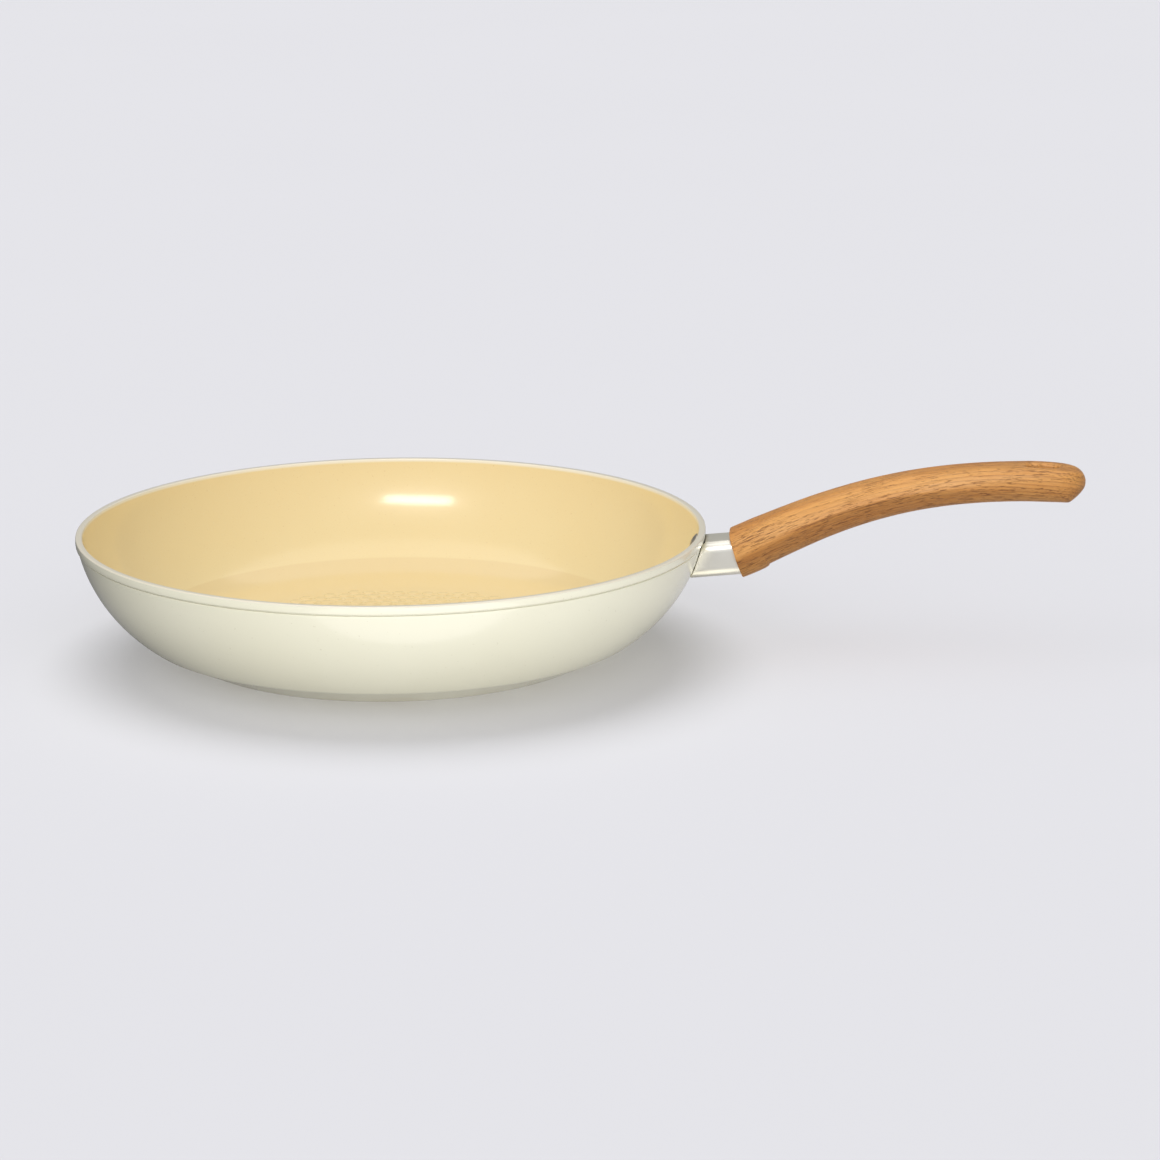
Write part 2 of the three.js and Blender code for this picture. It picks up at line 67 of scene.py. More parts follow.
# Table and light. A pale sheet runs far behind the pan, under a sky that is brighter in front.
# The key light stands in front of the pan. The sheet has lamps of its own. For light that bounces
# back to the pan its colour is painted dark on the left: painted shade, as a black flag gives in a
# studio.
FLOOR_SPREAD = 40
FLOOR_DROP = 0.0001                # keeps the sheet clear of the pan's flat base
BOUNCE_LEFT = 0.12                 # share of its light that the sheet sends back to the pan
BOUNCE_GAIN = 0.63                 # what the right sends back beyond that
# painted shade: left of this edge the sheet is dark for the light it sends back to the pan
BOUNCE_SHADE_EDGE = (-0.26, 0.06)
SKY_BEHIND = 0.23
SKY_GAIN = 0.6                     # what the sky in front gives beyond that
SKY_SEEN = 0.8


class Amount:
    """A number that a node gives. Sums on it add Math nodes."""

    def __init__(self, tree, socket):
        self.tree = tree
        self.socket = socket

    def maths(self, operation, *values):
        node = self.tree.nodes.new("ShaderNodeMath")
        node.operation = operation
        for socket, value in zip(node.inputs, values):
            if isinstance(value, Amount):
                self.tree.links.new(value.socket, socket)
            else:
                socket.default_value = value
        return Amount(self.tree, node.outputs[0])

    def __add__(self, other):
        return self.maths("ADD", self, other)

    __radd__ = __add__

    def __sub__(self, other):
        return self.maths("SUBTRACT", self, other)

    def __rsub__(self, other):
        return self.maths("SUBTRACT", other, self)

    def __mul__(self, other):
        return self.maths("MULTIPLY", self, other)

    __rmul__ = __mul__

    def __truediv__(self, other):
        return self.maths("DIVIDE", self, other)

    def __pow__(self, other):
        return self.maths("POWER", self, other)

    def step(self, low, high):
        """0 below low, 1 above high, smooth between."""
        share = self.maths("MULTIPLY_ADD", self, 1 / (high - low), -low / (high - low))
        share = share.maths("MAXIMUM", share.maths("MINIMUM", share, 1), 0)
        return share * share * (3 - 2 * share)


class Nodes:
    """A node tree that is added to by type, settings and inputs."""

    def __init__(self, tree):
        self.tree = tree

    def add(self, kind, settings=None, inputs=None):
        node = self.tree.nodes.new(kind)
        for key, value in (settings or {}).items():
            setattr(node, key, value)
        for key, value in (inputs or {}).items():
            self.feed(node.inputs[key], value)
        return node

    def feed(self, socket, value):
        value = value.socket if isinstance(value, Amount) else value
        if isinstance(value, bpy.types.NodeSocket):
            self.tree.links.new(value, socket)
        else:
            socket.default_value = value

    def amount(self, socket):
        return Amount(self.tree, socket)

    def parts(self, vector):
        node = self.add("ShaderNodeSeparateXYZ", inputs={"Vector": vector})
        return [self.amount(socket) for socket in node.outputs]

    def vector(self, x, y, z):
        return self.add("ShaderNodeCombineXYZ", inputs={"X": x, "Y": y, "Z": z}).outputs[0]

    def stretched(self, vector, scale):
        settings = {"operation": "MULTIPLY"}
        return self.add("ShaderNodeVectorMath", settings, {0: vector, 1: scale}).outputs[0]

    def noise(self, vector, scale=1, detail=2, roughness=0.5):
        inputs = {"Vector": vector, "Scale": scale, "Detail": detail, "Roughness": roughness}
        return self.amount(self.add("ShaderNodeTexNoise", inputs=inputs).outputs["Fac"])

    def mix(self, share, first, second):
        node = self.add("ShaderNodeMix", {"data_type": "RGBA"})
        self.feed(node.inputs["Factor"], share)
        self.feed(node.inputs[6], first)
        self.feed(node.inputs[7], second)
        return node.outputs[2]


def colour(red, green, blue):
    """A colour as seen on a screen, 0 to 255, turned into light."""
    shares = [value / 255 for value in (red, green, blue)]
    light = [s / 12.92 if s <= 0.04045 else ((s + 0.055) / 1.055) ** 2.4 for s in shares]
    return (*light, 1)


class Finish(Nodes):
    """A material whose patterns lie on Object coordinates."""

    def __init__(self, name, **constants):
        self.material = bpy.data.materials.new(name)
        self.material.use_nodes = True
        super().__init__(self.material.node_tree)
        self.shader = self.tree.nodes["Principled BSDF"]
        for key, value in constants.items():
            self.shader.inputs[key.replace("_", " ")].default_value = value
        self.place = self.add("ShaderNodeTexCoord").outputs["Object"]

    def wear(self, **inputs):
        for key, value in inputs.items():
            self.feed(self.shader.inputs[key.replace("_", " ")], value)

    def bump(self, height, distance, strength=1.0):
        inputs = {"Strength": strength, "Distance": distance, "Height": height}
        self.wear(Normal=self.add("ShaderNodeBump", inputs=inputs).outputs["Normal"])


sheet = Finish("pale_sheet", Roughness=0.9, Specular_IOR_Level=0.0)
east = sheet.parts(sheet.place)[0]
cloud = sheet.noise(sheet.place, 3, 1)
seen = sheet.amount(sheet.add("ShaderNodeLightPath").outputs["Is Camera Ray"])
# Painted shade: for light that bounces to the pan, the sheet is painted dark on the left.
bounce = BOUNCE_LEFT + BOUNCE_GAIN * east.step(*BOUNCE_SHADE_EDGE)
pale = sheet.mix(cloud, colour(196, 195, 195), colour(197, 196, 196))
shade = sheet.mix(seen + (1 - seen) * bounce, colour(0, 0, 0), pale)
sheet.wear(Base_Color=shade)
bm = bmesh.new()
bmesh.ops.create_grid(
    bm, x_segments=1, y_segments=1, size=FLOOR_SPREAD,
    matrix=Matrix.Translation((0, 0, -FLOOR_DROP)),
)
floor_mesh = bpy.data.meshes.new("floor")
bm.to_mesh(floor_mesh)
bm.free()
floor_mesh.materials.append(sheet.material)
floor = bpy.data.objects.new("floor", floor_mesh)
scene.collection.objects.link(floor)

world = bpy.data.worlds.new("studio")
world.use_nodes = True
scene.world = world
sky = Nodes(world.node_tree)
backdrop = world.node_tree.nodes["Background"]
towards = sky.add("ShaderNodeTexCoord").outputs["Generated"]
east, north = sky.parts(towards)[:2]
glow = SKY_BEHIND + SKY_GAIN * (-0.05 * east - north).step(-0.8, 1.0)
seen = sky.amount(sky.add("ShaderNodeLightPath").outputs["Is Camera Ray"])
sky.feed(backdrop.inputs["Color"], colour(246, 247, 255))
sky.feed(backdrop.inputs["Strength"], glow * (1 - seen) + SKY_SEEN * seen)

# Barn doors and flags: the sheet has its own lamps, of which one is even and casts no shadow.
# The lamps on the pan don't reach the sheet, and the handle blocks none of the sheet's lamps.
sheet_alone = bpy.data.collections.new("sheet_alone")
sheet_alone.objects.link(floor)
off_sheet = bpy.data.collections.new("off_sheet")
off_sheet.objects.link(floor)
off_sheet.collection_objects[0].light_linking.link_state = "EXCLUDE"
body_alone = bpy.data.collections.new("body_alone")
grip_alone = bpy.data.collections.new("grip_alone")
sleeve_alone = bpy.data.collections.new("sleeve_alone")
LAMP_DISTANCE = 2


def lamp(name, kind, azimuth, elevation, strength, tint, receivers, blockers, **sizes):
    """A soft light. Azimuth and elevation say where it stands, in degrees, seen from the pan."""
    data = bpy.data.lights.new(name, kind)
    for key, value in sizes.items():
        setattr(data, key, value)
    data.energy = strength
    data.color = colour(*tint)[:3]
    thing = bpy.data.objects.new(name, data)
    turn = Matrix.Rotation(math.radians(azimuth + 90), 4, "Z")
    tilt = Matrix.Rotation(math.radians(90 - elevation), 4, "X")
    thing.matrix_world = turn @ tilt @ Matrix.Translation((0, 0, LAMP_DISTANCE))
    scene.collection.objects.link(thing)
    thing.light_linking.receiver_collection = receivers
    thing.light_linking.blocker_collection = blockers


COOL = (250, 251, 255)
PLAIN = (255, 253, 250)
CREAM = (255, 252, 236)
for name, azimuth, elevation, strength, spread, blockers in (
    ("overhead", 106, 62, 2.0, 44, body_alone),
    ("side", -160, 40, 0.45, 50, body_alone),
    ("even", 0, 90, 1.08, 20, sheet_alone),
):
    lamp(
        name, "SUN", azimuth, elevation, strength, COOL, sheet_alone, blockers,
        angle=math.radians(spread),
    )
lamp(
    "key", "AREA", -95.5, 43, 11.5, PLAIN, off_sheet, off_sheet,
    shape="RECTANGLE", size=0.85, size_y=0.26,
)
for name, azimuth, elevation, strength, spread, tint, receivers in (
    ("top", 100, 74, 0.7, 60, PLAIN, off_sheet),
    ("fill", -75, 10, 0.2, 60, PLAIN, body_alone),
    ("bounce", -74, -28, 1.15, 70, PLAIN, body_alone),
    ("grip_top", -85, 78, 0.45, 50, PLAIN, grip_alone),
    ("sleeve_back", 84, 24, 0.15, 60, CREAM, sleeve_alone),
    ("sleeve_below", -95, -55, 0.5, 50, CREAM, sleeve_alone),
):
    lamp(
        name, "SUN", azimuth, elevation, strength, tint, receivers, off_sheet,
        angle=math.radians(spread),
    )


# Pan body. One sheet of aluminium is drawn to a deep curved wall and a ground flat base.
# The outside is enamelled in glossy cream, with a proud band and a fine groove at the rim.
MM = 0.001
GAP = 0.3
RIM_RADIUS = 140
PAN_HEIGHT = 54.5
BASE_RADIUS = 92
BAND_FOOT = 51
BAND_DRAFT = 0.15                  # how far the foot of the band is set in
BAND_EASE = 1.4                    # height over which it comes out to the full radius
BAND_TAPER = 0.05                  # how far its top is set in
GROOVE_DEPTH = 0.5
GROOVE_HEIGHT = 0.9
GROOVE_SLOPE = 0.1
WALL_CENTRE = (73.5, 64.4)
WALL_ARC = 67.1
WALL_THICKNESS = 2.3
LIP_SEAT = PAN_HEIGHT - 0.35       # top of the metal, under the coat on the lip
BODY_EDGE = 0.28                   # roundness of its edges
ROUNDING_STEPS = 4
BREAK_RADIUS = 111.5               # where the wall leaves the base zone, in a fine line
BASE_START = math.radians(26)
PLATE_RADIUS = 78
PLATE_THICKNESS = 0.6
BODY_FLOOR = 4
TURN_STEPS = 256


def wall_height(radius, depth=0.0):
    """Height of the wall's arc at a radius, at a depth in from its outer face."""
    arc = WALL_ARC - depth
    return WALL_CENTRE[1] - math.sqrt(arc**2 - (radius - WALL_CENTRE[0]) ** 2)


def wall_radius(height, depth=0.0):
    arc = WALL_ARC - depth
    return WALL_CENTRE[0] + math.sqrt(arc**2 - (height - WALL_CENTRE[1]) ** 2)


def line_to(bm, tip, radius, height):
    """Draws a profile on from its tip in a straight line, and gives the new tip."""
    made = bmesh.ops.extrude_vert_indiv(bm, verts=[tip])
    made["verts"][0].co = (radius, 0, height)
    return made["verts"][0]


def arc_to(bm, tip, radius, height, start, steps):
    """Draws a profile on in an arc that leaves at a slope, and gives the new tip."""
    chord = Vector((radius - tip.co.x, height - tip.co.z))
    half = math.atan2(chord.y, chord.x) - start
    half = (half + math.pi) % (2 * math.pi) - math.pi
    size = chord.length / (2 * math.sin(half))
    centre = (tip.co.x - size * math.sin(start), 0, tip.co.z + size * math.cos(start))
    made = bmesh.ops.spin(
        bm, geom=[tip], cent=centre, axis=(0, -1, 0), angle=2 * half, steps=steps
    )
    return next(item for item in made["geom_last"] if isinstance(item, bmesh.types.BMVert))


def rounded(bm, corners, offset):
    """Rounds these corners of a profile."""
    bmesh.ops.bevel(
        bm, geom=corners, offset=offset, offset_type="OFFSET", affect="VERTICES",
        segments=ROUNDING_STEPS, profile=0.5, material=-1,
    )


def turned(bm, steps=TURN_STEPS):
    """Turns a profile about the Z axis into a closed solid."""
    bmesh.ops.spin(
        bm, geom=bm.verts[:] + bm.edges[:], cent=(0, 0, 0), axis=(0, 0, 1),
        angle=2 * math.pi, steps=steps, use_merge=True,
    )
    bmesh.ops.remove_doubles(bm, verts=bm.verts, dist=1e-4)
    bmesh.ops.dissolve_degenerate(bm, edges=bm.edges, dist=1e-5)
    bmesh.ops.recalc_face_normals(bm, faces=bm.faces)


def show(name, bm, finish, slot, *nodes):
    """Makes a piece in metres from a mesh in millimetres, in place of these CAD nodes."""
    bmesh.ops.scale(bm, vec=(MM, MM, MM), verts=bm.verts)
    mesh = bpy.data.meshes.new(name)
    bm.to_mesh(mesh)
    bm.free()
    mesh.materials.append(finish.material)
    mesh.shade_smooth()
    piece = bpy.data.objects.new(name, mesh)
    scene.collection.objects.link(piece)
    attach(piece, "root")
    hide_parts(*nodes)
    return piece


enamel = Finish("cream_enamel", Coat_Weight=0.6, Coat_Roughness=0.06, IOR=1.5)
high = enamel.parts(enamel.place)[2]
cloudy = enamel.noise(enamel.place, 14, 3)
speck = enamel.noise(enamel.place, 900, 1).step(0.74, 0.8)
body_tone = enamel.mix(cloudy, colour(234, 231, 206), colour(239, 237, 215))
body_tone = enamel.mix(0.35 * speck, body_tone, colour(186, 176, 140))
base_tan = (1 - high.step(0.0005, 0.009)) * enamel.noise(enamel.place, 45, 4).step(0.4, 0.7)
body_tone = enamel.mix(0.3 * base_tan, body_tone, colour(206, 190, 150))
enamel.wear(Base_Color=body_tone, Roughness=0.17 + 0.07 * cloudy)
orange_peel = enamel.noise(enamel.place, 420, 2) + 0.3 * enamel.noise(enamel.place, 1600, 1)
enamel.bump(orange_peel, 0.00002, 0.35)

bm = bmesh.new()
tip = bm.verts.new((0, 0, PLATE_THICKNESS + GAP))
corners = []
tip = line_to(bm, tip, PLATE_RADIUS + GAP, PLATE_THICKNESS + GAP)
tip = line_to(bm, tip, PLATE_RADIUS + GAP, 0)
corners.append(tip)
tip = line_to(bm, tip, BASE_RADIUS, 0)
corners.append(tip)
tip = arc_to(bm, tip, BREAK_RADIUS, wall_height(BREAK_RADIUS), BASE_START, 14)
wall_top = BAND_FOOT - GROOVE_HEIGHT
break_slope = math.acos((WALL_CENTRE[1] - wall_height(BREAK_RADIUS)) / WALL_ARC)
tip = arc_to(bm, tip, wall_radius(wall_top), wall_top, break_slope, 40)
corners.append(tip)
tip = line_to(bm, tip, wall_radius(wall_top) - GROOVE_DEPTH, wall_top + GROOVE_SLOPE)
tip = line_to(bm, tip, wall_radius(BAND_FOOT) - GROOVE_DEPTH, BAND_FOOT)
tip = line_to(bm, tip, RIM_RADIUS - BAND_DRAFT, BAND_FOOT)
corners.append(tip)
tip = line_to(bm, tip, RIM_RADIUS, BAND_FOOT + BAND_EASE)
tip = line_to(bm, tip, RIM_RADIUS - BAND_TAPER, LIP_SEAT)
corners.append(tip)
tip = line_to(bm, tip, wall_radius(LIP_SEAT, WALL_THICKNESS), LIP_SEAT)
inner_foot = wall_radius(BODY_FLOOR, WALL_THICKNESS)
down = math.acos((WALL_CENTRE[1] - LIP_SEAT) / (WALL_ARC - WALL_THICKNESS)) + math.pi
tip = arc_to(bm, tip, inner_foot, BODY_FLOOR, down, 30)
tip = line_to(bm, tip, 0, BODY_FLOOR)
rounded(bm, corners, BODY_EDGE)
turned(bm)
body_alone.objects.link(show("enamelled_body", bm, enamel, "outer_enamel", "pan_body"))


# Ceramic lining. A satin, warm yellow non-stick coat is sprayed over the inside and the lip.
# The cooking floor is pressed with low honeycomb pads, so that food doesn't lie flat on it.
LINING_DEPTH = 2.8
INNER_FLOOR = 4.5
RING_RADIUS = 112                  # fine ring where the floor zone meets the wall
RING_SLOPE = math.radians(30.5)
LIP_THICKNESS = 0.55
LIP_SETBACK = (0.1, 0.06)          # of its foot and its top, behind the outside of the rim
LIP_EDGE = 0.48                    # roundness of the lip
COAT_BACK = 2.25                   # depth of the back of the coat, just inside the metal
PAD_PITCH = 7
PAD_RADIUS = 3.15
PAD_RISE = 0.3
PAD_SLOPE = 0.3                    # width of each of the two steps of its rounded side
PADS_WITHIN = 78

ceramic = Finish("warm_ceramic", Coat_Weight=0.85, Coat_Roughness=0.13, IOR=1.5)
high = ceramic.parts(ceramic.place)[2]
cloudy = ceramic.noise(ceramic.place, 11, 3)
grit = ceramic.noise(ceramic.place, 1300, 2)
tone = ceramic.mix(cloudy, colour(250, 224, 160), colour(253, 232, 174))
tone = ceramic.mix(0.5 * grit.step(0.62, 0.75), tone, colour(252, 234, 188))
tone = ceramic.mix(0.35 * (1 - grit.step(0.24, 0.34)), tone, colour(222, 184, 118))
# Painted shade: below the fine ring, the floor zone is painted darker.
tone = ceramic.mix(0.3 * (1 - high.step(0.0119, 0.0126)), tone, colour(232, 198, 132))
# Painted light: the top of the lip is painted paler, as if lit from above.
tone = ceramic.mix(high.step(0.0526, 0.0538), tone, colour(255, 247, 222))
ceramic.wear(Base_Color=tone, Roughness=0.31 + 0.06 * cloudy + 0.04 * grit)
ceramic.bump(ceramic.noise(ceramic.place, 520, 2) + 0.5 * grit, 0.00002, 0.4)

bm = bmesh.new()
coat_foot = INNER_FLOOR - LIP_THICKNESS
tip = bm.verts.new((0, 0, coat_foot))
tip = line_to(bm, tip, wall_radius(coat_foot, COAT_BACK), coat_foot)
lip_foot = PAN_HEIGHT - LIP_THICKNESS
start = math.acos((WALL_CENTRE[1] - tip.co.z) / (WALL_ARC - COAT_BACK))
tip = arc_to(bm, tip, wall_radius(lip_foot, COAT_BACK), lip_foot, start, 24)
tip = line_to(bm, tip, RIM_RADIUS - LIP_SETBACK[0], lip_foot)
corners = []
tip = line_to(bm, tip, RIM_RADIUS - LIP_SETBACK[1], PAN_HEIGHT)
corners.append(tip)
tip = line_to(bm, tip, wall_radius(PAN_HEIGHT, LINING_DEPTH), PAN_HEIGHT)
corners.append(tip)
down = math.acos((WALL_CENTRE[1] - PAN_HEIGHT) / (WALL_ARC - LINING_DEPTH)) + math.pi
ring_height = wall_height(RING_RADIUS, LINING_DEPTH)
tip = arc_to(bm, tip, RING_RADIUS, ring_height, down, 36)
corner_arc = (ring_height - INNER_FLOOR) / (1 - math.cos(RING_SLOPE))
floor_edge = RING_RADIUS - corner_arc * math.sin(RING_SLOPE)
tip = arc_to(bm, tip, floor_edge, INNER_FLOOR, RING_SLOPE + math.pi, 18)
tip = line_to(bm, tip, 0, INNER_FLOOR)
rounded(bm, corners, LIP_EDGE)
turned(bm)

row_pitch = PAD_PITCH * math.sqrt(3) / 2
rows = math.ceil(PADS_WITHIN / row_pitch)
lids = []
for row in range(-rows, rows + 1):
    for column in range(-rows - 1, rows + 2):
        x = (column + row % 2 / 2) * PAD_PITCH
        y = row * row_pitch
        if math.hypot(x, y) < PADS_WITHIN:
            place = Matrix.Translation((x, y, INNER_FLOOR)) @ Matrix.Rotation(math.pi / 6, 4, "Z")
            pad = bmesh.ops.create_circle(
                bm, cap_ends=True, radius=PAD_RADIUS, segments=6, matrix=place,
            )
            lids.append(pad["verts"][0].link_faces[0])
for share in (0.75, 0.25):
    bmesh.ops.inset_individual(bm, faces=lids, thickness=PAD_SLOPE, depth=PAD_RISE * share)
show("ceramic_coat", bm, ceramic, "ceramic_coat", "ceramic_lining")


# Rivets. Two aluminium rivets go through the wall and the bracket behind it.
# Their low domed heads are inside the pan, and their tails are set against the bracket.
RIVET_SPACING = 11.5
RIVET_HEIGHT = 46
HEAD_RADIUS = 5
HEAD_RISE = 2.1
SHANK_RADIUS = 2.2
TAIL_RADIUS = 2.9
TAIL_RISE = 1.6
HEAD_BRIM = 0.35                   # height of the straight side of a head
RIVET_EDGE = 0.3
RIVET_STEPS = 48
BRACKET_SHEET = 2.5

soft_metal = Finish("rivet_aluminium", Metallic=1.0)
scuffs = soft_metal.noise(soft_metal.stretched(soft_metal.place, (900, 900, 5200)), 1, 3)
blotch = soft_metal.noise(soft_metal.place, 380, 3)
soft_metal.wear(
    Base_Color=soft_metal.mix(blotch, colour(176, 168, 154), colour(204, 200, 190)),
    Roughness=0.3 + 0.2 * scuffs,
)
soft_metal.bump(scuffs + 0.6 * blotch, 0.00004, 0.5)

head_seat = LINING_DEPTH + GAP
tail_seat = BRACKET_SHEET + 2 * GAP
for side, name in ((1, "left"), (-1, "right")):
    bm = bmesh.new()
    tip = bm.verts.new((0, 0, -head_seat - HEAD_RISE))
    tip = arc_to(bm, tip, HEAD_RADIUS, -head_seat - HEAD_BRIM, 0, 10)
    tip = line_to(bm, tip, HEAD_RADIUS, -head_seat)
    brim = tip
    tip = line_to(bm, tip, SHANK_RADIUS, -head_seat)
    tip = line_to(bm, tip, SHANK_RADIUS, tail_seat)
    tip = line_to(bm, tip, TAIL_RADIUS, tail_seat)
    tip = line_to(bm, tip, TAIL_RADIUS, tail_seat + TAIL_RISE)
    rounded(bm, [brim, tip], RIVET_EDGE)
    end = max(bm.verts, key=lambda vert: vert.co.z - vert.co.x)
    line_to(bm, end, 0, tail_seat + TAIL_RISE)
    turned(bm, RIVET_STEPS)
    turn = math.asin(RIVET_SPACING / 2 / wall_radius(RIVET_HEIGHT))
    drop = math.asin((WALL_CENTRE[1] - RIVET_HEIGHT) / WALL_ARC)
    place = (
        Matrix.Rotation(side * turn, 4, "Z")
        @ Matrix.Translation((wall_radius(RIVET_HEIGHT), 0, RIVET_HEIGHT))
        @ Matrix.Rotation(math.pi / 2 + drop, 4, "Y")
    )
    bmesh.ops.transform(bm, matrix=place, verts=bm.verts)
    show(f"turned_rivet_{name}", bm, soft_metal, "rivet_metal", f"rivet_{name}")


# Steel disc. A perforated disc is pressed into the base, so that the pan works on induction.
# It is stainless steel, brushed in circles.
disc_steel = Finish("brushed_disc", Metallic=1.0)
across, deep, high = disc_steel.parts(disc_steel.place)
from_centre = (across * across + deep * deep) ** 0.5
circles = disc_steel.noise(disc_steel.vector(from_centre * 4200, high * 50, 0), 1, 3, 0.7)
arcs = disc_steel.noise(disc_steel.stretched(disc_steel.place, (60, 60, 60)), 1, 3)
disc_steel.wear(
    Base_Color=disc_steel.mix(circles, colour(166, 166, 167), colour(206, 206, 206)),
    Roughness=0.3 + 0.16 * circles + 0.08 * arcs,
)
disc_steel.bump(circles, 0.00003, 0.5)


def finish_node(name, finish):
    """Gives a CAD node its own finish, in the slots that it has."""
    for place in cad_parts[name].material_slots:
        place.material = finish.material


finish_node("induction_plate", disc_steel)


# Sleeve. A short drawn tube of polished stainless steel hides the bracket and shields the grip.
# It is held between the wall, to whose curve its end is cut, and the socket in the grip.
SLEEVE_WIDTH = 22
SLEEVE_HEIGHT = 16
SLEEVE_CORNER = 4.6
SLEEVE_WALL = 1.2
SLEEVE_RISE = math.radians(5.3)
SLEEVE_AXIS = 43
SLEEVE_SEAT = 2.8
SLEEVE_EDGE = 0.2
CORNER_STEPS = 12
SCRIBE_TURNS = 12                  # slides that bring its end to rest on the wall
GRIP_STANDOFF = 16.7

polished = Finish("polished_steel", Metallic=1.0)
drawn = polished.noise(polished.stretched(polished.place, (60, 2600, 2600)), 1, 3, 0.6)
smear = polished.noise(polished.place, 60, 3)
polished.wear(
    Base_Color=polished.mix(smear, colour(238, 235, 222), colour(250, 247, 235)),
    Roughness=0.29 + 0.05 * drawn + 0.04 * smear,
)
polished.bump(drawn, 0.00001, 0.4)

wall_on_axis = wall_radius(SLEEVE_AXIS)


def scribed(vert):
    """Slides a vertex along the sleeve until it meets the pan, with the gap between."""
    run = Vector((math.cos(SLEEVE_RISE), 0, math.sin(SLEEVE_RISE)))
    for _ in range(SCRIBE_TURNS):
        reach = wall_radius(min(vert.co.z, BAND_FOOT)) + GAP
        if vert.co.z > BAND_FOOT - GAP:
            reach = RIM_RADIUS + GAP
        vert.co += run * (math.sqrt(reach**2 - vert.co.y**2) - vert.co.x)


bm = bmesh.new()
bmesh.ops.create_grid(bm, x_segments=1, y_segments=1, size=0.5)
bmesh.ops.scale(bm, vec=(SLEEVE_WIDTH, SLEEVE_HEIGHT, 1), verts=bm.verts)
bmesh.ops.bevel(
    bm, geom=bm.verts[:], offset=SLEEVE_CORNER, offset_type="OFFSET", affect="VERTICES",
    segments=CORNER_STEPS, profile=0.5, material=-1,
)
upright = Matrix(((0, 0, 1, 0), (1, 0, 0, 0), (0, 1, 0, 0), (0, 0, 0, 1)))
tube = Matrix.Translation((wall_on_axis, 0, SLEEVE_AXIS)) @ Matrix.Rotation(-SLEEVE_RISE, 4, "Y")
bmesh.ops.transform(bm, matrix=tube @ upright, verts=bm.verts)
near = bm.faces[:]
drawn_out = bmesh.ops.extrude_face_region(bm, geom=near, use_keep_orig=True)
far = [item for item in drawn_out["geom"] if isinstance(item, bmesh.types.BMVert)]
length = (GRIP_STANDOFF + SLEEVE_SEAT) / math.cos(SLEEVE_RISE)
bmesh.ops.translate(
    bm, verts=far, vec=(length * math.cos(SLEEVE_RISE), 0, length * math.sin(SLEEVE_RISE)),
)
for vert in set(bm.verts) - set(far):
    scribed(vert)
caps = [face for face in bm.faces if len(face.verts) > 4]
bmesh.ops.delete(bm, geom=caps, context="FACES_ONLY")
bmesh.ops.recalc_face_normals(bm, faces=bm.faces)
sleeve = show("drawn_sleeve", bm, polished, "polished_sleeve", "flame_guard")
sleeve_alone.objects.link(sleeve)
shell = sleeve.modifiers.new("wall", "SOLIDIFY")
shell.thickness = SLEEVE_WALL * MM
shell.offset = -1
lip = sleeve.modifiers.new("edges", "BEVEL")
lip.width = SLEEVE_EDGE * MM
lip.segments = 2
lip.limit_method = "ANGLE"


# Bracket. Folded from thick steel sheet, it is riveted to the wall and screwed to the grip.
# It has a dull pickled finish and is hidden inside the sleeve and the grip.
sheet_steel = Finish("pickled_sheet", Metallic=1.0)
mottle = sheet_steel.noise(sheet_steel.place, 240, 4, 0.65)
sheet_steel.wear(
    Base_Color=sheet_steel.mix(mottle, colour(128, 126, 122), colour(172, 171, 168)),
    Roughness=0.38 + 0.22 * mottle,
)
sheet_steel.bump(mottle, 0.00005, 0.5)
finish_node("handle_bracket", sheet_steel)


# Grip. Shaped from one piece of oiled wood that follows a long curve to its tip.
# It has a soft ridge on each side, a pad for the screw below the front and a dished hanging hole.
GRIP_FRONT = wall_on_axis + GRIP_STANDOFF
GRIP_LIFT = 0.9
GRIP_BASE = SLEEVE_AXIS + GRIP_STANDOFF * math.tan(SLEEVE_RISE) + GRIP_LIFT
GRIP_REACH = 152.7
GRIP_CLIMB = 32.6
START_RISE = math.radians(23)
START_PULL = 33
END_RISE = math.radians(-4.5)
END_PULL = 84
FRONT_LEAN = math.radians(18)
FRONT_BLEND = 26
HOLE_FROM_TIP = 19
SCREW_FROM_FRONT = 6.6
AXIS_STEPS = 600

axis_start = Vector((GRIP_FRONT, 0, GRIP_BASE))
axis_end = axis_start + Vector((GRIP_REACH, 0, GRIP_CLIMB))
grip_axis = interpolate_bezier(
    axis_start,
    axis_start + START_PULL * Vector((math.cos(START_RISE), 0, math.sin(START_RISE))),
    axis_end - END_PULL * Vector((math.cos(END_RISE), 0, math.sin(END_RISE))),
    axis_end,
    AXIS_STEPS,
)
axis_runs = [0.0]
for before, after in zip(grip_axis, grip_axis[1:]):
    axis_runs.append(axis_runs[-1] + (after - before).length)
grip_length = axis_runs[-1]
hole_at = grip_length - HOLE_FROM_TIP


def lean_at(distance):
    """How far the grip's sections lean off square, which its slanted front starts."""
    return (FRONT_LEAN - START_RISE) * max(0, 1 - distance / FRONT_BLEND)


def on_axis(distance):
    """A frame on the grip's axis: X along it, Z square to it, and leaning near the front."""
    index = min(range(1, len(axis_runs) - 1), key=lambda item: abs(axis_runs[item] - distance))
    before, after = grip_axis[index - 1], grip_axis[index + 1]
    slope = math.atan2(after.z - before.z, after.x - before.x)
    run = Vector((math.cos(slope), 0, math.sin(slope)))
    point = grip_axis[index] + run * (distance - axis_runs[index])
    return Matrix.Translation(point) @ Matrix.Rotation(-slope - lean_at(distance), 4, "Y")


def square_to_axis(distance):
    """The frame on the axis without the lean of the front."""
    return on_axis(distance) @ Matrix.Rotation(lean_at(distance), 4, "Y")


